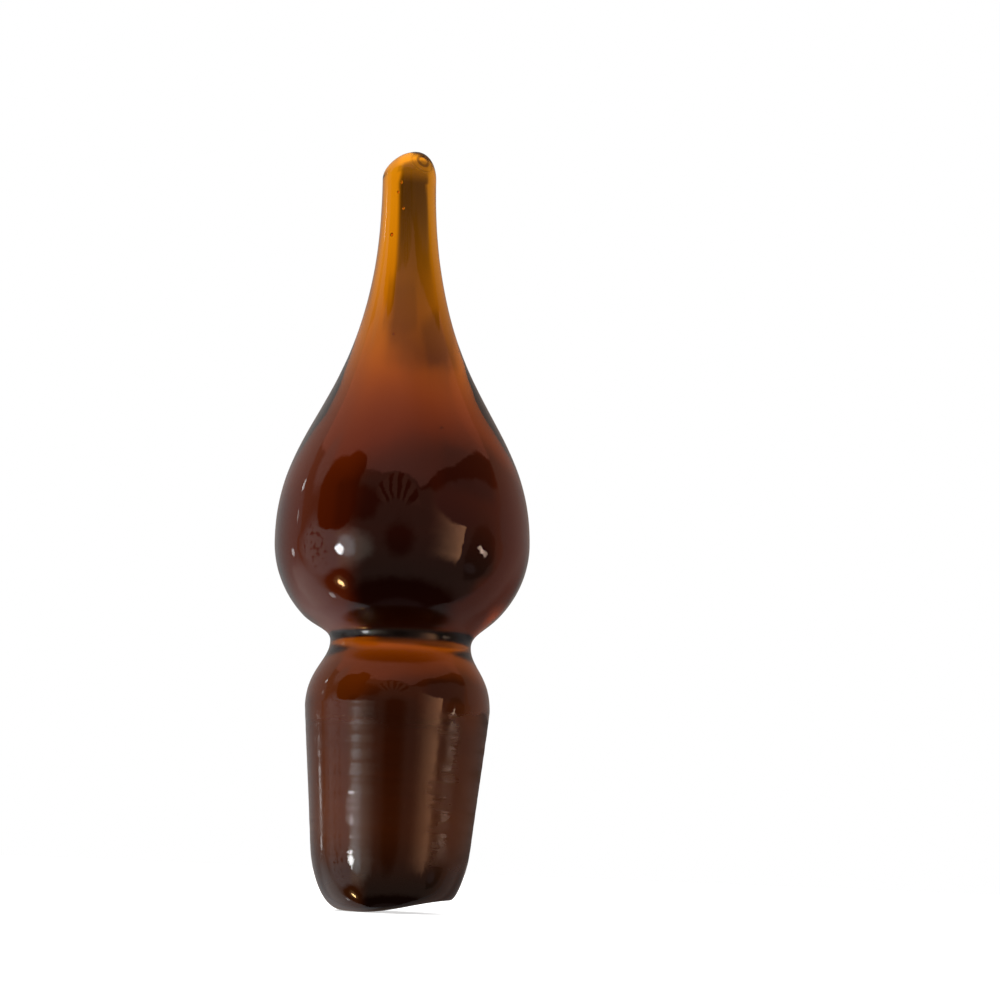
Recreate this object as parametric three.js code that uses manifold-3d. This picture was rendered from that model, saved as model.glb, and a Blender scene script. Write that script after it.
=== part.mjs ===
// A solid amber glass decanter stopper, made of two gathers of glass joined hot at the waist:
// a finial, which is a pear-shaped bulb drawn out to a thin tip, and a plug ground to fit a neck.
// Millimetres, +Z up. The origin is on the plug's axis in the plane of its widest ring,
// where the stopper seats in the decanter's neck. The front faces -Y and +X is to the right.
import * as THREE from "three";
import { mergeVertices } from "three/addons/utils/BufferGeometryUtils.js";
import Module from "manifold-3d";

const wasm = await Module();
wasm.setup();

// The ground plug, from the seat down
const SEAT_DIAMETER = 26.2;
const GROUND_LENGTH = 19.5;
const GROUND_END_DIAMETER = 22.2;
const PLUG_LENGTH = 28.0;
const FOOT_DIAMETER = 19.2;
const FOOT_BEND = 2.4;

// The foot's edge is worn round on the left and sharp on the right, and the underside slopes up there
const LEFT_EDGE_ROUND = 3.6;
const RIGHT_EDGE_ROUND = 1.0;
const UNDERSIDE_RISE = 1.9;
const RISE_STARTS_LEFT_OF_AXIS = 3.5;
const RISE_WIDTH = 13.3;

// The shoulder over the seat, drawn in to the waist
const WAIST_HEIGHT = 9.2;
const WAIST_DIAMETER = 20.1;
const SHOULDER_ROUND = 5.2;
const UNDER_WAIST_ROUND = 2.9;

// The finial, from the waist up
const FINIAL_LENGTH = 74.1;
const BULB_DIAMETER = 36.7;
const BULB_RISE = 14.5;
const BULB_BELOW_WAIST = 1.6;
const WAIST_FILLET_HEIGHT = 4.3;
const WAIST_FILLET_REACH = 1.9;
const BULB_CROWN = 18.9;
const TIP_DIAMETER = 8.1;
const TIP_DRAW = 35.0;
const TIP_ROUND = 4.1;

// The finial leans to the left on the plug, and its round end is pulled up on the right
const LEAN_DEGREES = 1.8;
const TIP_TILT_DEGREES = 15;

// The small crater in the round end, where the last thread of glass was cut off
const CRATER_DIAMETER = 2.3;
const CRATER_DEPTH = 0.35;
const CRATER_TURN_DEGREES = 40;
const CRATER_CLIMB_DEGREES = 43;

// How finely the curves are divided
const ROUND_STEPS = 64;
const FLARE_STEPS = 6;
const CURVE_STEPS = 10;
const LONG_CURVE_STEPS = 18;

const glass = { color: 0x7a3f10, metalness: 0, transparent: true, opacity: 0.9 };
const firePolished = new THREE.MeshStandardMaterial({ ...glass, roughness: 0.04 });
const groundSatin = new THREE.MeshStandardMaterial({ ...glass, roughness: 0.3 });

const { degToRad, lerp, smoothstep } = THREE.MathUtils;
const point = (radius, height) => new THREE.Vector2(radius, height);

function bezier(start, startHandle, endHandle, end, steps) {
  return new THREE.CubicBezierCurve(start, startHandle, endHandle, end).getPoints(steps);
}

// A closed surface about Z. outlineAt gives the outline at one angle, from the foot of the axis
// to its top, with the same number of points every time. Angle 0 is the front, a quarter turn the right.
function turned(outlineAt) {
  const count = outlineAt(0).length;
  const geometry = new THREE.LatheGeometry(outlineAt(0), ROUND_STEPS);
  const places = geometry.attributes.position;
  for (let step = 0; step <= ROUND_STEPS; step += 1) {
    const angle = (2 * Math.PI * (step % ROUND_STEPS)) / ROUND_STEPS;
    outlineAt(angle).forEach((p, i) => {
      places.setXYZ(step * count + i, p.x * Math.sin(angle), p.y, p.x * Math.cos(angle));
    });
  }
  return geometry.rotateX(Math.PI / 2);
}

function solidOf(geometry) {
  const bare = geometry.clone();
  bare.deleteAttribute("normal");
  bare.deleteAttribute("uv");
  const merged = mergeVertices(bare);
  return new wasm.Manifold(
    new wasm.Mesh({
      numProp: 3,
      vertProperties: merged.attributes.position.array,
      triVerts: new Uint32Array(merged.index.array),
    }),
  );
}

function geometryOf(solid) {
  const mesh = solid.getMesh();
  const geometry = new THREE.BufferGeometry();
  geometry.setAttribute("position", new THREE.BufferAttribute(mesh.vertProperties, mesh.numProp));
  geometry.setIndex(new THREE.BufferAttribute(mesh.triVerts, 1));
  geometry.computeVertexNormals();
  return geometry;
}

// The height of the underside, which swells up from the left to the right
function undersideHeight(x) {
  const start = -RISE_STARTS_LEFT_OF_AXIS;
  return UNDERSIDE_RISE * smoothstep(x, start, start + RISE_WIDTH) - PLUG_LENGTH;
}

// Round foot, straight ground taper, shoulder and waist
function plugOutline(angle) {
  const right = Math.sin(angle);
  const edgeRound = lerp(LEFT_EDGE_ROUND, RIGHT_EDGE_ROUND, (1 + right) / 2);
  const flatRadius = FOOT_DIAMETER / 2 - edgeRound;
  const onUnderside = (radius) => point(radius, undersideHeight(radius * right));
  const taper = (SEAT_DIAMETER - GROUND_END_DIAMETER) / 2 / GROUND_LENGTH;
  const groundEnd = point(GROUND_END_DIAMETER / 2, -GROUND_LENGTH);
  const bend = point(groundEnd.x - taper * FOOT_BEND, groundEnd.y - FOOT_BEND);
  const footEdge = onUnderside(FOOT_DIAMETER / 2);
  const flatEdge = onUnderside(flatRadius);
  const seat = point(SEAT_DIAMETER / 2, 0);
  const shoulder = point(seat.x, SHOULDER_ROUND);
  const waist = point(WAIST_DIAMETER / 2, WAIST_HEIGHT);
  const underWaist = point(waist.x, waist.y - UNDER_WAIST_ROUND);
  return [
    ...[0, 0.25, 0.5, 0.75].map((share) => onUnderside(flatRadius * share)),
    ...bezier(flatEdge, footEdge, bend, groundEnd, CURVE_STEPS),
    ...bezier(seat, shoulder, underWaist, waist, CURVE_STEPS),
    point(0, WAIST_HEIGHT),
  ];
}

// A point of the tip's round end, at an angle about the axis and a climb from the end's edge to its top
function roundEnd(angle, climb) {
  const radius = (TIP_DIAMETER / 2) * Math.cos(climb);
  const pull = Math.tan(degToRad(TIP_TILT_DEGREES)) * Math.sin(angle) * radius;
  return point(radius, FINIAL_LENGTH - TIP_ROUND + (TIP_ROUND + pull) * Math.sin(climb));
}

// Height 0 is the waist here. A stub runs on below it, for the cut that makes the joint's flat face.
function finialOutline(angle) {
  const waistRadius = WAIST_DIAMETER / 2;
  const bulbRadius = BULB_DIAMETER / 2;
  const underHeight = BULB_RISE + BULB_BELOW_WAIST;
  const start = -Math.asin((BULB_RISE - WAIST_FILLET_HEIGHT) / underHeight);
  const flareEnd = point(bulbRadius * Math.cos(start), WAIST_FILLET_HEIGHT);
  const slope = (-bulbRadius * Math.tan(start)) / underHeight;
  const intoBulb = point(flareEnd.x - slope * WAIST_FILLET_REACH, flareEnd.y - WAIST_FILLET_REACH);
  const outOfWaist = point(waistRadius, WAIST_FILLET_REACH);
  const tipRadius = TIP_DIAMETER / 2;
  const tipStart = FINIAL_LENGTH - TIP_ROUND;
  const lower = new THREE.EllipseCurve(0, BULB_RISE, bulbRadius, underHeight, start, 0);
  const crown = bezier(
    point(bulbRadius, BULB_RISE),
    point(bulbRadius, BULB_RISE + BULB_CROWN),
    point(tipRadius, tipStart - TIP_DRAW),
    point(tipRadius, tipStart),
    LONG_CURVE_STEPS,
  );
  const climbs = Array.from({ length: CURVE_STEPS }, (_, i) => ((i + 1) * Math.PI) / 2 / CURVE_STEPS);
  return [
    point(0, -waistRadius),
    point(waistRadius, -waistRadius),
    ...bezier(point(waistRadius, 0), outOfWaist, intoBulb, flareEnd, FLARE_STEPS),
    ...lower.getPoints(CURVE_STEPS).slice(1),
    ...crown.slice(1),
    ...climbs.map((climb) => roundEnd(angle, climb)),
  ];
}

// The sphere whose cap is the crater, set on the round end and facing up, front and right
function crater() {
  const half = CRATER_DIAMETER / 2;
  const radius = (half * half + CRATER_DEPTH * CRATER_DEPTH) / (2 * CRATER_DEPTH);
  const turn = degToRad(CRATER_TURN_DEGREES);
  const climb = degToRad(CRATER_CLIMB_DEGREES);
  const place = roundEnd(turn, climb);
  const outward = new THREE.Vector3(Math.sin(turn), -Math.cos(turn), 0);
  const facing = outward.clone().multiplyScalar(Math.cos(climb)).setZ(Math.sin(climb));
  const centre = outward.multiplyScalar(place.x).setZ(place.y).addScaledVector(facing, radius - CRATER_DEPTH);
  return new THREE.SphereGeometry(radius, 24, 16).translate(centre.x, centre.y, centre.z);
}

function makePlug() {
  const plug = new THREE.Mesh(turned(plugOutline), groundSatin);
  plug.name = "plug";
  return plug;
}

// The finial leans about the middle of the waist, and is cut level there so that it sits on the plug
function makeFinial() {
  const lean = -degToRad(LEAN_DEGREES);
  const below = new THREE.BoxGeometry(2 * BULB_DIAMETER, 2 * BULB_DIAMETER, 2 * WAIST_DIAMETER);
  below.translate(0, 0, -WAIST_DIAMETER);
  const whole = solidOf(turned(finialOutline).rotateY(lean));
  const scar = solidOf(crater().rotateY(lean));
  const finial = new THREE.Mesh(geometryOf(whole.subtract(solidOf(below)).subtract(scar)), firePolished);
  finial.name = "finial";
  finial.position.z = WAIST_HEIGHT;
  return finial;
}

const stopper = new THREE.Group();
stopper.add(makePlug(), makeFinial());

export default stopper;
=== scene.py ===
"""A solid amber glass decanter stopper, standing on a white table against white.

The stopper is one closed body of glass, made ring by ring from the foot of the plug to the tip of the
finial. Metres, +Z up, the front faces -Y and +X is to the right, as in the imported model.
"""

import math

import bpy
import numpy as np
from mathutils import Euler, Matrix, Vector


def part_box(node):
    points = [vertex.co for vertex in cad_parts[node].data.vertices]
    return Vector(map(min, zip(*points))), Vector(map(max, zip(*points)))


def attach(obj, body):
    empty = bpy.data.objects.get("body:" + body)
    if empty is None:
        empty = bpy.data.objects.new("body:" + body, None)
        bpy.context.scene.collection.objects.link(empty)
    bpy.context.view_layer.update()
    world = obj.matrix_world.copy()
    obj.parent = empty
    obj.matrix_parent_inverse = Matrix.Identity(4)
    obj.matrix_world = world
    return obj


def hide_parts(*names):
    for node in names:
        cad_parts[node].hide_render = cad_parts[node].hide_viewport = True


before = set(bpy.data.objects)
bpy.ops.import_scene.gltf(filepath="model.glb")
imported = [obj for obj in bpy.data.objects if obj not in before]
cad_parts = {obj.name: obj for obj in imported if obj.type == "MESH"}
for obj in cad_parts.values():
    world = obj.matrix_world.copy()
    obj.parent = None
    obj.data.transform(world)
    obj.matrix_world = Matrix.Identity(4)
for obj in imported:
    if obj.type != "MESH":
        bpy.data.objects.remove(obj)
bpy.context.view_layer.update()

MM = 0.001
DEGREE = math.pi / 180

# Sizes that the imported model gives
plug_low, plug_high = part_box("plug")
finial_low, finial_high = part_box("finial")
SKIN_INSET = 0.05 * MM
SEAT_RADIUS = (plug_high.x - plug_low.x) / 2 - SKIN_INSET
WAIST_HEIGHT = plug_high.z
FOOT_HEIGHT = plug_low.z + SKIN_INSET
BULB_RADIUS = (finial_high.y - finial_low.y) / 2 - SKIN_INSET
FINIAL_LENGTH = 74.0 * MM

# The plug's other sizes
GROUND_LENGTH = 19.5 * MM
GROUND_END_RADIUS = 11.1 * MM
FOOT_RADIUS = 9.6 * MM
FOOT_BEND = 2.4 * MM
LEFT_EDGE_ROUND = 3.6 * MM
RIGHT_EDGE_ROUND = 1.0 * MM
UNDERSIDE_RISE = 1.9 * MM
RISE_START = -3.5 * MM
RISE_WIDTH = 13.3 * MM
WAIST_RADIUS = 10.0 * MM
SHOULDER_ROUND = 5.2 * MM
UNDER_WAIST_ROUND = 2.9 * MM

# The finial's other sizes
BULB_RISE = 14.5 * MM
BULB_BELOW_WAIST = 1.6 * MM
FILLET_HEIGHT = 4.3 * MM
FILLET_REACH = 1.9 * MM
BULB_CROWN = 18.9 * MM
TIP_RADIUS = 4.0 * MM
TIP_DRAW = 35.0 * MM
TIP_ROUND = 4.1 * MM
LEAN = 1.8 * DEGREE
TIP_TILT = 15 * DEGREE

# The crater in the tip
CRATER_TURN = 36 * DEGREE
CRATER_CLIMB = 24 * DEGREE
CRATER_RADIUS = 0.85 * MM
CRATER_HALF_WIDTH = 0.42 * MM
CRATER_DEPTH = 0.06 * MM
CRATER_LIP = 1.75 * MM
CRATER_LIP_STEP = 0.02 * MM

# How many points go round each ring
ROUND = 192


class Value:
    """A number in a shader. Python's operators on it add the Math nodes that work them out."""

    def __init__(self, tree, socket):
        self.tree, self.socket = tree, socket

    def math(self, operation, *others):
        node = self.tree.make("Math", {"operation": operation}, {})
        for slot, value in zip(node.inputs, (self, *others)):
            self.tree.feed(slot, value)
        return Value(self.tree, node.outputs[0])

    def __add__(self, other):
        return self.math("ADD", other)

    def __sub__(self, other):
        return self.math("SUBTRACT", other)

    def __rsub__(self, other):
        return (self * -1) + other

    def __mul__(self, other):
        return self.math("MULTIPLY", other)

    def __truediv__(self, other):
        return self.math("DIVIDE", other)

    def __pow__(self, other):
        return self.math("POWER", other)

    __radd__ = __add__
    __rmul__ = __mul__

    def clamp(self):
        return self.math("MAXIMUM", 0.0).math("MINIMUM", 1.0)

    def rise(self, start, end):
        """0 below start, 1 above end, and a smooth step between them."""
        settings = {"interpolation_type": "SMOOTHSTEP"}
        sockets = {"Value": self, "From Min": start, "From Max": end}
        return Value(self.tree, self.tree.make("MapRange", settings, sockets).outputs["Result"])

    def band(self, centre, half, soft):
        """1 within half of centre, fading to 0 over soft on each side."""
        return 1 - (self - centre).math("ABSOLUTE").rise(half, half + soft)


class Nodes:
    """The node tree of a material or of the world."""

    def __init__(self, owner):
        owner.use_nodes = True
        self.nodes, self.links = owner.node_tree.nodes, owner.node_tree.links
        self.nodes.clear()

    def feed(self, slot, value):
        if isinstance(value, Value):
            value = value.socket
        if isinstance(value, bpy.types.NodeSocket):
            self.links.new(value, slot)
        else:
            slot.default_value = value

    def make(self, kind, settings, sockets):
        """A node of a kind, with its settings, and with its sockets set to numbers or linked."""
        node = self.nodes.new("ShaderNode" + kind)
        for name, setting in settings.items():
            setattr(node, name, setting)
        for name, value in sockets.items():
            self.feed(node.inputs[name], value)
        return node

    def value(self, kind, settings, sockets, output=0):
        return Value(self, self.make(kind, settings, sockets).outputs[output])

    def mix(self, factor, first, second):
        """A colour between two others."""
        node = self.make("Mix", {"data_type": "RGBA"}, {"Factor": factor})
        colours = [s for s in node.inputs if s.type == "RGBA"]
        self.feed(colours[0], first)
        self.feed(colours[1], second)
        return next(s for s in node.outputs if s.type == "RGBA")

    def place(self, output="Object"):
        """The three coordinates of the point, or of the direction, that is shaded."""
        where = self.make("TexCoord", {}, {}).outputs[output]
        parts = self.make("SeparateXYZ", {}, {"Vector": where})
        return [Value(self, parts.outputs[axis]) for axis in "XYZ"]


def smooth_step(start, end, value):
    share = np.clip((value - start) / (end - start), 0, 1)
    return share * share * (3 - 2 * share)


ANGLES = np.arange(ROUND) * 2 * math.pi / ROUND
RIGHTWARD = np.sin(ANGLES)
FRONTWARD = np.cos(ANGLES)


def bezier(corners, rings):
    """Rings along a cubic curve up to its last corner. A corner is a radius and a height."""
    t = np.linspace(0, 1, rings, endpoint=False)[:, None]
    weights = ((1 - t) ** 3, 3 * t * (1 - t) ** 2, 3 * t**2 * (1 - t), t**3)
    return [
        sum(weight * (corner[part] + np.zeros(ROUND)) for weight, corner in zip(weights, corners))
        for part in (0, 1)
    ]


def underside_height(x):
    """The underside swells up from the left of the axis to the right."""
    return FOOT_HEIGHT + UNDERSIDE_RISE * smooth_step(RISE_START, RISE_START + RISE_WIDTH, x)


def plug_rings():
    """The underside, the foot, the ground taper and the shoulder, up to the waist."""
    edge_round = LEFT_EDGE_ROUND + (RIGHT_EDGE_ROUND - LEFT_EDGE_ROUND) * (1 + RIGHTWARD) / 2
    flat_radius = FOOT_RADIUS - edge_round
    shares = np.linspace(0, 1, 30, endpoint=False)[1:, None]
    underside = [shares * flat_radius, underside_height(shares * flat_radius * RIGHTWARD)]

    taper = (SEAT_RADIUS - GROUND_END_RADIUS) / GROUND_LENGTH
    ground_end = (GROUND_END_RADIUS, -GROUND_LENGTH)
    bend = (GROUND_END_RADIUS - taper * FOOT_BEND, -GROUND_LENGTH - FOOT_BEND)
    foot_edge = (FOOT_RADIUS, underside_height(FOOT_RADIUS * RIGHTWARD))
    flat_edge = (flat_radius, underside_height(flat_radius * RIGHTWARD))
    foot = bezier((flat_edge, foot_edge, bend, ground_end), 70)

    seat = (SEAT_RADIUS, 0)
    third = [(seat[k] - ground_end[k]) / 3 for k in (0, 1)]
    lower_third = [ground_end[k] + third[k] for k in (0, 1)]
    upper_third = [seat[k] - third[k] for k in (0, 1)]
    ground = bezier((ground_end, lower_third, upper_third, seat), 130)

    waist = (WAIST_RADIUS, WAIST_HEIGHT)
    under_waist = (WAIST_RADIUS, WAIST_HEIGHT - UNDER_WAIST_ROUND)
    shoulder = bezier((seat, (SEAT_RADIUS, SHOULDER_ROUND), under_waist, waist), 50)
    return [underside, foot, ground, shoulder]


def finial_rings():
    """The flare out of the waist, the bulb, the drawn tip and its round end."""
    under_height = BULB_RISE + BULB_BELOW_WAIST
    start = -math.asin((BULB_RISE - FILLET_HEIGHT) / under_height)
    flare_end = (BULB_RADIUS * math.cos(start), WAIST_HEIGHT + FILLET_HEIGHT)
    slope = -BULB_RADIUS * math.tan(start) / under_height
    into_bulb = (flare_end[0] - slope * FILLET_REACH, flare_end[1] - FILLET_REACH)
    out_of_waist = (WAIST_RADIUS, WAIST_HEIGHT + FILLET_REACH)
    flare = bezier(((WAIST_RADIUS, WAIST_HEIGHT), out_of_waist, into_bulb, flare_end), 36)

    turn = np.linspace(start, 0, 40, endpoint=False)[:, None] + np.zeros(ROUND)
    equator = WAIST_HEIGHT + BULB_RISE
    lower = [BULB_RADIUS * np.cos(turn), equator + under_height * np.sin(turn)]

    tip_start = WAIST_HEIGHT + FINIAL_LENGTH - TIP_ROUND
    crown_corners = (
        (BULB_RADIUS, equator),
        (BULB_RADIUS, equator + BULB_CROWN),
        (TIP_RADIUS, tip_start - TIP_DRAW),
        (TIP_RADIUS, tip_start),
    )
    crown = bezier(crown_corners, 110)

    climb = np.linspace(0, math.pi / 2, 90, endpoint=False)[:, None]
    end_radius = TIP_RADIUS * np.cos(climb) + np.zeros(ROUND)
    pull = math.tan(TIP_TILT) * RIGHTWARD * end_radius
    end = [end_radius, tip_start + (TIP_ROUND + pull) * np.sin(climb)]
    return [flare, lower, crown, end]


def leaned(points):
    """Points over the waist, turned about its middle so that the finial leans to the left."""
    height = points[..., 2] - WAIST_HEIGHT
    lean = LEAN * smooth_step(0, FILLET_HEIGHT, height)
    moved = points.copy()
    moved[..., 0] = points[..., 0] * np.cos(lean) - height * np.sin(lean)
    moved[..., 2] = WAIST_HEIGHT + points[..., 0] * np.sin(lean) + height * np.cos(lean)
    return np.where(height[..., None] > 0, moved, points)


def outward(grid):
    """The unit normals of a grid of rings."""
    along = np.gradient(grid, axis=0)
    around = np.roll(grid, -1, axis=1) - np.roll(grid, 1, axis=1)
    normal = np.cross(around, along)
    return normal / np.linalg.norm(normal, axis=-1, keepdims=True)


def waves(seed, count, turns, lengths, angle, height):
    """A sum of slanted waves round the axis, mostly between -2 and 2.

    seed starts the random draw, turns is the most waves that go once round, and lengths gives the
    shortest and the longest wave up the height."""
    draw = np.random.default_rng(seed)
    total = 0
    for _ in range(count):
        rounds = draw.integers(-turns, turns + 1)
        length = math.exp(draw.uniform(math.log(lengths[0]), math.log(lengths[1])))
        phase = draw.uniform(0, 2 * math.pi)
        total = total + np.cos(rounds * angle + 2 * math.pi * height / length + phase)
    return total / math.sqrt(count)


# The heights between which the grinding fades in and out
GRINDING_STARTS = (-23 * MM, -20 * MM)
GRINDING_ENDS = (-1.2 * MM, 0.2 * MM)

# How high the waves of hand work are
SWELL = 0.018 * MM
FREE_RIPPLE = 0.004 * MM
GRINDING_STEPS = 0.009 * MM
GRINDING_LINES = 0.0022 * MM


def hand_work(grid):
    """How far the surface stands off its true shape, as the glass was shaped and ground by hand."""
    height = grid[..., 2]
    angle = ANGLES + np.zeros_like(height)
    ground = smooth_step(*GRINDING_STARTS, height) * (1 - smooth_step(*GRINDING_ENDS, height))
    free = 1 - ground
    offset = SWELL * waves(3, 9, 3, (12 * MM, 40 * MM), angle, height)
    offset += FREE_RIPPLE * free * waves(5, 12, 7, (4 * MM, 11 * MM), angle, height)
    offset += GRINDING_STEPS * ground * waves(8, 14, 2, (1.6 * MM, 5 * MM), angle, height)
    offset += GRINDING_LINES * ground * waves(13, 16, 3, (0.6 * MM, 1.4 * MM), angle, height)
    return offset


def crater_centre():
    tip_start = WAIST_HEIGHT + FINIAL_LENGTH - TIP_ROUND
    turn, climb = CRATER_TURN, CRATER_CLIMB
    radius = TIP_RADIUS * math.cos(climb)
    pull = math.tan(TIP_TILT) * math.sin(turn) * radius
    height = tip_start + (TIP_ROUND + pull) * math.sin(climb)
    return leaned(np.array([radius * math.sin(turn), -radius * math.cos(turn), height]))


def crater_offset(grid):
    """The ring-shaped scar in the round end, where the last thread of glass was cut off."""
    away = np.linalg.norm(grid - crater_centre(), axis=-1)
    groove = CRATER_DEPTH * (smooth_step(0, CRATER_HALF_WIDTH, abs(away - CRATER_RADIUS)) - 1)
    lip = CRATER_LIP_STEP * (1 - smooth_step(CRATER_LIP - 0.1 * MM, CRATER_LIP + 0.1 * MM, away))
    return groove + lip


SEED_ROUND = 12
SEED_CLIMBS = 9


def seed_bubble(centre, radius, stretch):
    """A tiny bubble of air, as rings of points and a bottom and a top point."""
    climb = np.linspace(-math.pi / 2, math.pi / 2, SEED_CLIMBS)[1:-1, None]
    turn = np.arange(SEED_ROUND) * 2 * math.pi / SEED_ROUND
    x = radius * np.cos(climb) * np.sin(turn)
    y = -radius * np.cos(climb) * np.cos(turn)
    z = radius * stretch * np.sin(climb) + np.zeros(SEED_ROUND)
    rings = np.stack((x, y, z), axis=-1) + centre
    pole = np.array([0, 0, radius * stretch])
    return rings, centre - pole, centre + pole


def closed_faces(rings, around, first, inward):
    """The faces of a closed stack of rings whose points start at number first, poles last."""
    faces = []
    bottom, top = first + rings * around, first + rings * around + 1
    for i in range(around):
        j = (i + 1) % around
        faces.append((bottom, first + j, first + i))
        last = first + (rings - 1) * around
        faces.append((top, last + i, last + j))
        for ring in range(rings - 1):
            low = first + ring * around
            high = low + around
            faces.append((low + i, low + j, high + j, high + i))
    return [face[::-1] for face in faces] if inward else faces


# The seeds. Each is so far right of the axis, in front of it and up from the seat, in millimetres,
# followed by its radius in millimetres and its height as a share of its width
SEEDS_MM = (
    (-0.9, 2.4, 77.6, 0.16, 1.6),
    (-1.3, 2.2, 76.1, 0.20, 1.3),
    (-0.6, 2.5, 73.5, 0.17, 1.5),
    (-2.1, 2.7, 69.3, 0.26, 1.2),
    (-1.4, 4.8, 53.0, 0.22, 0.8),
    (5.0, 8.6, 37.8, 0.24, 0.9),
)


def make_glass():
    """The whole stopper as one closed mesh, with its seeds as cavities."""
    pieces = plug_rings() + finial_rings()
    radius = np.concatenate([piece[0] for piece in pieces])
    height = np.concatenate([piece[1] for piece in pieces])
    grid = np.stack((radius * RIGHTWARD, -radius * FRONTWARD, height), axis=-1)
    grid = leaned(grid)
    normal = outward(grid)
    offset = hand_work(grid) + crater_offset(grid)
    grid = grid + normal * offset[..., None]

    bottom = np.array([0, 0, float(underside_height(0.0))])
    top = leaned(np.array([0, 0, WAIST_HEIGHT + FINIAL_LENGTH]))
    points = [grid.reshape(-1, 3), [bottom, top]]
    faces = closed_faces(len(grid), ROUND, 0, False)
    count = grid.shape[0] * ROUND + 2
    for right, front, up, size, stretch in SEEDS_MM:
        lean = math.sin(LEAN) * (up * MM - WAIST_HEIGHT)
        centre = np.array([right * MM - lean, -front * MM, up * MM])
        rings, low, high = seed_bubble(centre, size * MM, stretch)
        points += [rings.reshape(-1, 3), [low, high]]
        faces += closed_faces(len(rings), rings.shape[1], count, True)
        count += rings.shape[0] * rings.shape[1] + 2

    mesh = bpy.data.meshes.new("stopper_glass")
    mesh.from_pydata(np.concatenate(points).tolist(), [], faces)
    mesh.validate()
    mesh.shade_smooth()
    glass = bpy.data.objects.new("stopper_glass", mesh)
    bpy.context.scene.collection.objects.link(glass)
    mesh.materials.append(amber_glass())
    return glass


# The colour that the glass takes out of light: a tint at once, and the rest with depth. The plug's, the
# foot's and the crater's colours are painted shade: the glass is given a darker colour on the plug, a
# darker one still towards the foot, and a dark brown one in the crater's groove and round its lip
TINT = (1.0, 0.47, 0.02, 1)
# Painted shade: a darker colour for the plug than for the finial
PLUG_PAINTED_SHADE = (0.5, 0.235, 0.03, 1)
# Painted shade, deepest at the foot
FOOT_PAINTED_SHADE = (0.085, 0.038, 0.008, 1)
# Painted shade in the crater's groove and round its lip
CRATER_PAINTED_SHADE = (0.06, 0.016, 0.002, 1)
ABSORPTION_PER_METRE = 350
ABSORPTION_COLOUR = (0.714, 0.58, 0.0, 1)

# Lower than that of real glass, which is about 1.5, so that the dark edges are narrow
GLASS_IOR = 1.41

# How rough the glass is: everywhere, and what the ground band, its wear, the waist and the crater add
POLISHED_ROUGH = 0.012
WORN_SATIN = 0.05
UNWORN_SATIN = 0.33
STEP_SATIN = 0.10
LINE_SATIN = 0.05
WAIST_ROUGH = 0.19
CRATER_ROUGH = 0.45


def from_crater(x, y, z):
    """The distance from the crater's middle, in millimetres."""
    squares = [(value - float(middle)) ** 2 for value, middle in zip((x, y, z), crater_centre())]
    return (squares[0] + squares[1] + squares[2]).math("SQRT") / MM


def crater_shade_share(away):
    """How much painted shade darkens the glass by the crater: most in its groove, a little round its
    lip.
    """
    groove = away.band(CRATER_RADIUS / MM, 0.12, 0.22)
    lip = away.band(CRATER_LIP / MM, 0.03, 0.12)
    return groove * 0.85 + lip * 0.3


def amber_glass():
    """Clear fire-polished amber, with a satin band where the plug is ground, and painted shade on the
    plug, towards the foot and in the crater.
    """
    material = bpy.data.materials.new("amber_glass")
    t = Nodes(material)
    x, y, z = t.place()
    height = z / MM
    fine = t.make("CombineXYZ", {}, {"X": x * 120, "Y": y * 120, "Z": z * 2600})
    rings = t.value("TexNoise", {}, {"Vector": fine.outputs[0], "Scale": 1.0, "Detail": 3.0})
    wide = t.make("CombineXYZ", {}, {"X": x * 60, "Y": y * 60, "Z": z * 520})
    steps = t.value("TexNoise", {}, {"Vector": wide.outputs[0], "Scale": 1.0, "Detail": 2.0})
    spots = {"Vector": t.make("TexCoord", {}, {}).outputs["Object"], "Scale": 260.0, "Detail": 2.0}
    patches = t.value("TexNoise", {}, spots)
    edge = height + (patches - 0.5) * 3
    ground = edge.rise(-23.0, -20.5) * (1 - edge.rise(-1.2, -0.2))
    unworn = (x / MM * 0.6 + y / MM * 0.8 + (patches - 0.5) * 8).rise(-8, 2)
    speckle = t.value("TexNoise", {}, {**spots, "Scale": 4200.0})
    satin = WORN_SATIN + UNWORN_SATIN * unworn
    satin = satin + STEP_SATIN * steps.rise(0.5, 0.6) + LINE_SATIN * rings.rise(0.45, 0.6)
    waist = height.band(WAIST_HEIGHT / MM, 2.0, 3.5)
    away = from_crater(x, y, z)
    roughness = POLISHED_ROUGH + ground * satin + waist * WAIST_ROUGH
    roughness = roughness + (1 - away.rise(1.8, 2.4)) * CRATER_ROUGH
    grain = rings * 0.5 + speckle.rise(0.55, 0.75)
    bump = t.make("Bump", {}, {"Strength": 0.16, "Distance": 0.02 * MM, "Height": grain * ground})
    # Painted shade: the plug below the waist takes a darker colour than the finial
    shade = t.mix(height.rise(5.0, 7.5), PLUG_PAINTED_SHADE, TINT)
    # Painted shade: dark brown rings in the crater's groove and round its lip
    shade = t.mix(crater_shade_share(away), shade, CRATER_PAINTED_SHADE)
    # Painted shade: the base colour darkens towards the foot, over the lowest 10 mm of the plug
    sockets = {
        "Base Color": t.mix(1 - height.rise(-25.0, -15.0), shade, FOOT_PAINTED_SHADE),
        "Roughness": roughness,
        "IOR": GLASS_IOR,
        "Transmission Weight": 1.0,
        "Normal": bump.outputs[0],
    }
    glass = t.make("BsdfPrincipled", {}, sockets)
    taken_out = {"Color": ABSORPTION_COLOUR, "Density": ABSORPTION_PER_METRE}
    depth = t.make("VolumeAbsorption", {}, taken_out)
    t.make("OutputMaterial", {}, {"Surface": glass.outputs[0], "Volume": depth.outputs[0]})
    return material


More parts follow.
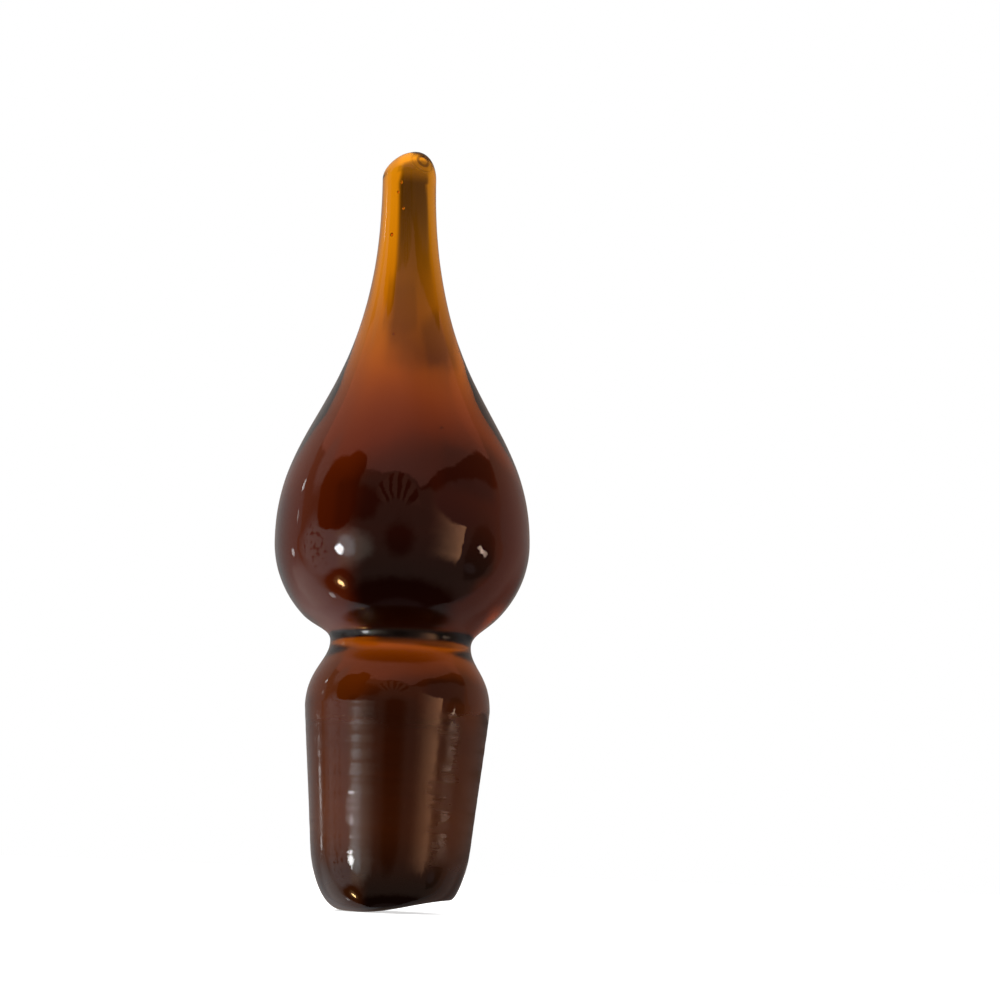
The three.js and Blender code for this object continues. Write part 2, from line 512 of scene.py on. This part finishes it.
# The light that glossy rays meet: a painted room. Each patch has its place in degrees right of the
# front and up from level, its half width and half height, how soft its edge is, and its colour.
ROOM_FRONT = (0.30, 0.205, 0.165, 1)
CEILING_LEFT = (1.10, 0.50, 0.41, 1)
CEILING_RIGHT = (0.70, 0.32, 0.25, 1)
CURTAIN = (0.10, 0.05, 0.045, 1)
FLOOR_DARK = (0.035, 0.022, 0.02, 1)
LEFT_SHEET_LOW = (0.67, 0.65, 0.67, 1)
LEFT_SHEET = (0.40, 0.39, 0.39, 1)
RIGHT_SHEET = (0.30, 0.27, 0.26, 1)
LEFT_SHEET_TOP = (0.47, 0.42, 0.39, 1)
BACK_SHEET = (0.28, 0.22, 0.19, 1)
RIGHT_SHEET_TOP = (0.27, 0.21, 0.17, 1)
ROOM_PATCHES = (
    ("pale corner", -88, 34, 5, 8, 7, (0.75, 0.55, 0.50, 1)),
    ("dark middle", 0, -10, 6, 12, 14, (0.06, 0.045, 0.04, 1)),
    ("dark beside the blind", -36, 19, 12, 5, 8, (0.07, 0.045, 0.04, 1)),
    ("pale wall on the left", -79, -14, 15, 18, 12, (0.95, 0.92, 0.95, 1)),
    ("right wall", 66, 22, 32, 8, 6, (0.30, 0.19, 0.17, 1)),
    ("right wall's end", 84, 12, 8, 10, 6, (0.30, 0.2, 0.17, 1)),
    ("dark end of the sheet", 152, -20, 12, 14, 14, (0.13, 0.12, 0.12, 1)),
    ("lit sheet", -116, -30, 12, 9, 14, (0.9, 0.9, 0.9, 1)),
    ("lamp's wall", -76, -44, 17, 9, 6, (0.08, 0.06, 0.05, 1)),
    ("window", -50, -15, 4.5, 5.5, 8, (3.2, 3.4, 3.4, 1)),
    ("window's middle", -57, -16.5, 3.0, 3.8, 2.5, (32, 32, 32, 1)),
    ("dark blind", -62, 21, 19, 18, 3, (0.03, 0.02, 0.02, 1)),
    ("blind's top", -51, 36, 10, 9, 3, (0.03, 0.02, 0.02, 1)),
    ("shade", 80, -12, 14, 24, 3, (0.12, 0.10, 0.08, 1)),
    ("faint light", 75, -27, 5, 2.5, 4, (0.27, 0.23, 0.22, 1)),
    ("warm lamp", 77, -7.5, 1.8, 1.0, 1.8, (9, 6.5, 5, 1)),
    ("warm lamp's middle", 80.5, -8.8, 2.0, 0.9, 1.6, (12, 8.5, 7, 1)),
    ("warm lamp's edge", 84, -10.2, 1.8, 1.0, 1.5, (7, 5, 4, 1)),
    ("golden glow", -76, -45, 4, 3, 6, (1.6, 0.9, 0.4, 1)),
    ("golden lamp", -75.8, -45.2, 1.6, 2.0, 2.5, (45, 28, 12, 1)),
    ("glint", -113, -4, 1.0, 1.5, 1.5, (4, 4, 4, 1)),
    ("glint", -107, 22, 1.0, 0.7, 1.0, (6, 6, 6, 1)),
    ("glint", -106, 12, 0.5, 1.5, 1.0, (2, 2, 2, 1)),
    ("glint", -102, -46, 1.6, 1.6, 1.5, (4, 4, 4, 1)),
)
PANEL_LIGHT = (4.6, 2.3, 1.3, 1)
WINDOW_GLOW = (1.4, 1.2, 1.0, 1)
LEAF_DARK = (0.22, 0.20, 0.20, 1)
PLEAT_LIGHT = (0.44, 0.26, 0.20, 1)
PLEAT_DARK = (0.05, 0.04, 0.04, 1)
BELOW_LIGHT = (0.14, 0.10, 0.10, 1)
BLACK = (0, 0, 0, 1)
WHITE = (1, 1, 1, 1)

# The light that transmission rays meet: painted paper low down, and what is behind and above it
PAPER_LIGHT = (2.2, 2.2, 2.2, 1)
PAPER_SIDE = (1.6, 1.6, 1.6, 1)
RIGHT_LIGHT = (1.55, 1.55, 1.55, 1)
LEFT_LIGHT = (1.1, 1.1, 1.1, 1)
MIDDLE_LIGHT = (0.78, 0.78, 0.78, 1)
ARCH_DARK = (0.17, 0.17, 0.17, 1)
FAR_LEFT_LIGHT = (4.0, 4.0, 4.0, 1)
TABLE_LIGHT = (0.85, 0.85, 0.85, 1)
FRONT_DIMMING = 0.6


def mirrored_room(t, turn, climb, mottle):
    """The colour of the room in the gloss, by the direction in degrees."""
    room = t.mix(1 - climb.rise(-58, -46), ROOM_FRONT, FLOOR_DARK)
    room = t.mix(turn.rise(10, 24) * climb.rise(26, 28), room, CURTAIN)
    ceiling_edge = 36 - 7 * turn.rise(4, 20) + 11 * turn.rise(20, 45) + 4 * turn.rise(45, 84)
    ceiling_edge = ceiling_edge - 8 * turn.rise(92, 115)
    ceiling = t.mix(turn.rise(-30, 60), CEILING_LEFT, CEILING_RIGHT)
    room = t.mix(climb.rise(ceiling_edge - 1, ceiling_edge + 1), room, ceiling)
    fan, fold = pleats(turn, climb)
    room = t.mix(fan, room, t.mix(fold, PLEAT_LIGHT, PLEAT_DARK))
    room = t.mix(1 - climb.rise(-79, -72), room, BELOW_LIGHT)
    beside = climb.rise(-88, -72)
    edge = turn.math("ABSOLUTE") - climb * climb * 0.0085 * climb.rise(-5, 5)
    edge = edge - 5.5 * (1 - climb.rise(-5, 10)) + 10 * (1 - climb.rise(-52, -25))
    side = (edge - 25 * (1 - climb.rise(-76, -64))).rise(98, 102) * beside
    room = t.mix(turn.rise(-1, 1) * side, room, t.mix(climb.rise(12, 38), RIGHT_SHEET, RIGHT_SHEET_TOP))
    left_sheet = t.mix(climb.rise(-32, -8), LEFT_SHEET_LOW, LEFT_SHEET)
    left_sheet = t.mix(climb.rise(12, 38), left_sheet, LEFT_SHEET_TOP)
    room = t.mix((1 - turn.rise(-1, 1)) * side, room, left_sheet)
    room = t.mix(turn.math("ABSOLUTE").rise(145, 178) * side, room, BACK_SHEET)
    glow = oval(turn, climb, -55, -16, 20, 10, 16)
    glow = glow * (1 - turn.rise(-28, -15)) * turn.rise(-99, -97)
    room = t.mix(glow, room, WINDOW_GLOW)
    panel = turn.math("SUBTRACT", 24).math("DIVIDE", 35).clamp() ** 1.8 * (1 - turn.rise(58.5, 60))
    room = t.mix(panel * climb.band(-1, 17, 13), room, PANEL_LIGHT)
    for _, right, up, half_width, half_height, soft, colour in ROOM_PATCHES:
        room = t.mix(oval(turn, climb, right, up, half_width, half_height, soft), room, colour)
    leaves = oval(turn, climb, -84, -10, 12, 17, 4) * (1 - mottle.rise(0.39, 0.44))
    room = t.mix(leaves, room, LEAF_DARK)
    return room


def pleats(turn, climb):
    """Where cloth hangs in a fan over the middle of the room, and the folds in it."""
    right, up = turn + 4, climb - 12
    spread = right.math("ARCTAN2", up)
    away = (right * right + up * up).math("SQRT")
    fan = away.rise(9, 12) * (1 - away.rise(23, 24.5)) * climb.rise(17, 22)
    return fan, ((spread * 15).math("SINE") * 0.5 + 0.5).rise(0.3, 0.75)


def oval(turn, climb, right, up, half_width, half_height, soft):
    """1 inside a rounded patch of the room, fading to 0 over soft degrees outside it."""
    across = (turn - right) / (half_width + soft / 2)
    along = (climb - up) / (half_height + soft / 2)
    away = (across * across + along * along).math("SQRT")
    edge = soft / (half_width + half_height + soft)
    return 1 - away.rise(1 - edge, 1 + edge)


def light_through(t, x, y, z):
    """The painted colour of what is behind the glass, by the parts of the direction."""
    light = t.mix(x.rise(0.10, 0.22), MIDDLE_LIGHT, RIGHT_LIGHT)
    light = t.mix(x.rise(0.55, 0.9), light, MIDDLE_LIGHT)
    light = t.mix(1 - x.rise(-0.85, -0.35), light, LEFT_LIGHT)
    light = t.mix(x.band(-0.38, 0.12, 0.08) * z.band(-0.08, 0.06, 0.06) * 0.4, light, ARCH_DARK)
    light = t.mix(x.band(0.05, 0.19, 0.06) * z.band(0.075, 0.05, 0.05) * 0.27, light, ARCH_DARK)
    left_edge = -0.52 + 0.11 * z.rise(0.28, 0.40) + 0.12 * z.rise(0.40, 0.48)
    right_edge = 0.14 + 0.03 * z.rise(0.2, 0.4)
    arch = (x - left_edge).rise(-0.06, 0.06) * (1 - (x - right_edge).rise(-0.07, 0.07))
    light = t.mix(arch * z.rise(0.0, 0.36), light, ARCH_DARK)
    light = t.mix(z.rise(0.5, 0.65) * (1 - x.rise(-0.68, -0.54)), light, FAR_LEFT_LIGHT)
    paper_edge = -0.235 + 0.20 * x.rise(-0.6, 0.25)
    paper = t.mix(x.rise(0.2, 0.45), PAPER_LIGHT, PAPER_SIDE)
    light = t.mix(1 - z.rise(paper_edge - 0.12, paper_edge + 0.06), light, paper)
    dimming = y.rise(-0.2, 0.2)
    return t.mix((1 - dimming) * (1 - FRONT_DIMMING), light, BLACK)


def make_world():
    """White to the camera, the painted room to glossy rays and the painted light to transmission."""
    world = bpy.data.worlds.new("room")
    bpy.context.scene.world = world
    world.cycles.sampling_method = "NONE"
    t = Nodes(world)
    x, y, z = t.place("Generated")
    where = t.make("TexCoord", {}, {}).outputs["Generated"]
    folds = t.make("TexNoise", {}, {"Vector": where, "Scale": 7.0, "Detail": 3.0})
    bend = t.make("SeparateColor", {}, {"Color": folds.outputs["Color"]})
    sideways, upwards = (Value(t, bend.outputs[part]) - 0.5 for part in ("Red", "Green"))
    turn = x.math("ARCTAN2", y * -1) / DEGREE + sideways * 7
    climb = z.math("ARCSINE") / DEGREE + upwards * 7
    mottle = t.value("TexNoise", {}, {"Vector": where, "Scale": 17.0, "Detail": 4.0})
    room = mirrored_room(t, turn, climb, mottle)
    through = light_through(t, x + sideways * 0.06, y, z + upwards * 0.06)

    light = t.make("LightPath", {}, {})
    seen = t.mix(light.outputs["Is Glossy Ray"], TABLE_LIGHT, room)
    seen = t.mix(light.outputs["Is Transmission Ray"], seen, through)
    seen = t.mix(light.outputs["Is Camera Ray"], seen, WHITE)
    background = t.make("Background", {}, {"Color": seen})
    t.make("OutputWorld", {}, {"Surface": background.outputs[0]})


FLOOR_HALF = 3.0
FLOOR_COLOUR = (0.9, 0.9, 0.9, 1)
FLOOR_ROUGH = 0.9
FLOOR_GLOW = (0.62, 0.62, 0.62, 1)


def make_floor():
    """A wide white table top under the foot. To the camera it glows, so that it comes out white."""
    mesh = bpy.data.meshes.new("table_top")
    low = plug_low.z
    corners = [(x * FLOOR_HALF, y * FLOOR_HALF, low) for x, y in ((-1, -1), (1, -1), (1, 1), (-1, 1))]
    mesh.from_pydata(corners, [], [(0, 1, 2, 3)])
    floor = bpy.data.objects.new("table_top", mesh)
    bpy.context.scene.collection.objects.link(floor)
    floor.visible_glossy = False
    floor.visible_transmission = False

    material = bpy.data.materials.new("white_table")
    t = Nodes(material)
    light = t.make("LightPath", {}, {})
    glow = t.mix(light.outputs["Is Camera Ray"], BLACK, FLOOR_GLOW)
    sockets = {"Base Color": FLOOR_COLOUR, "Roughness": FLOOR_ROUGH, "Emission Strength": 1.0}
    white = t.make("BsdfPrincipled", {}, {**sockets, "Emission Color": glow})
    t.make("OutputMaterial", {}, {"Surface": white.outputs[0]})
    mesh.materials.append(material)


def make_lamp(name, place, size, power):
    """A soft square lamp that faces the stopper and isn't mirrored in it."""
    lamp = bpy.data.lights.new(name, "AREA")
    lamp.size = size
    lamp.energy = power
    holder = bpy.data.objects.new(name, lamp)
    holder.location = place
    holder.rotation_euler = (-Vector(place)).to_track_quat("-Z", "Y").to_euler()
    holder.visible_glossy = False
    holder.visible_transmission = False
    holder.visible_camera = False
    bpy.context.scene.collection.objects.link(holder)


# The camera is just over the table and looks slightly up at the stopper. Its roll turns the picture.
CAMERA_RIGHT = 13.29 * MM
CAMERA_DISTANCE = 260 * MM
CAMERA_OVER_TABLE = 6 * MM
CAMERA_AIM_HEIGHT = 30.83 * MM
CAMERA_ROLL = 2.31 * DEGREE
CAMERA_LENS = 66.02
SENSOR_WIDTH = 36


def make_camera():
    camera = bpy.data.cameras.new("camera")
    camera.lens = CAMERA_LENS
    camera.sensor_width = SENSOR_WIDTH
    camera.sensor_fit = "HORIZONTAL"
    camera.clip_start = 1 * MM
    holder = bpy.data.objects.new("camera", camera)
    height = plug_low.z + CAMERA_OVER_TABLE
    pitch = math.atan2(CAMERA_AIM_HEIGHT - height, CAMERA_DISTANCE)
    holder.location = (CAMERA_RIGHT, -CAMERA_DISTANCE, height)
    tilt = Euler((math.pi / 2 + pitch, 0, 0)).to_matrix()
    roll = Euler((0, 0, CAMERA_ROLL)).to_matrix()
    holder.rotation_euler = (tilt @ roll).to_euler()
    bpy.context.scene.collection.objects.link(holder)
    bpy.context.scene.camera = holder


GLASS_BOUNCES = 24
GLOSS_BOUNCES = 12


def set_light_paths():
    """Enough bounces for light to find its way out of thick glass."""
    cycles = bpy.context.scene.cycles
    cycles.max_bounces = GLASS_BOUNCES
    cycles.transmission_bounces = GLASS_BOUNCES
    cycles.glossy_bounces = GLOSS_BOUNCES
    cycles.caustics_reflective = False


make_camera()
set_light_paths()
make_world()
make_floor()
make_lamp("key_lamp", (-0.7, -0.5, 1.1), 0.6, 9)
make_lamp("fill_lamp", (0.9, -0.3, 0.8), 0.8, 5)

glass = make_glass()
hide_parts("finial", "plug")
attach(glass, "root")

bpy.context.scene.view_settings.view_transform = "Standard"

bpy.context.view_layer.update()
